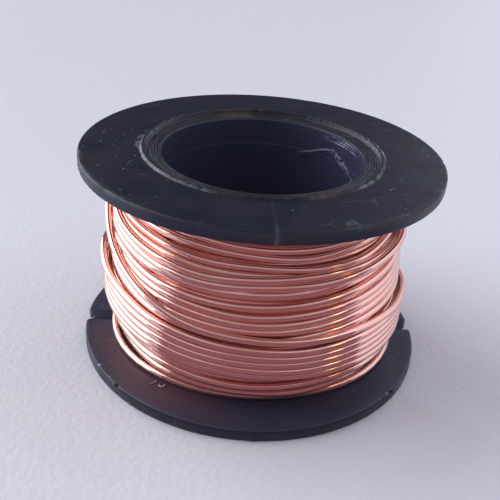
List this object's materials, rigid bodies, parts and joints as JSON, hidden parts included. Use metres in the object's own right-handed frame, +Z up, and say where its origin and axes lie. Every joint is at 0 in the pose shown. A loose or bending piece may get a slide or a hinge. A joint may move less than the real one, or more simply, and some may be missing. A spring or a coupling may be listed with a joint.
{
  "type": "reel of copper wire",
  "caption": "Small moulded plastic spool with two thin round flanges and a wide hollow hub, wound in layers with bright bare copper wire.",
  "frame": {"origin": "centre of the lower flange's lower face, where the reel stands on a level surface", "axes": "+Z up the axis of the bore, +X out through one of the threading slots in the lower flange"},
  "size_m": [0.04, 0.04, 0.0243],
  "materials": {
    "black_plastic": "satin moulded black plastic with fine scratches, and scuffed edges round the bore",
    "copper": "bright bare drawn copper"
  },
  "bodies": {
    "root": {"spool": "black_plastic", "wire_winding": "copper"}
  },
  "joints": []
}
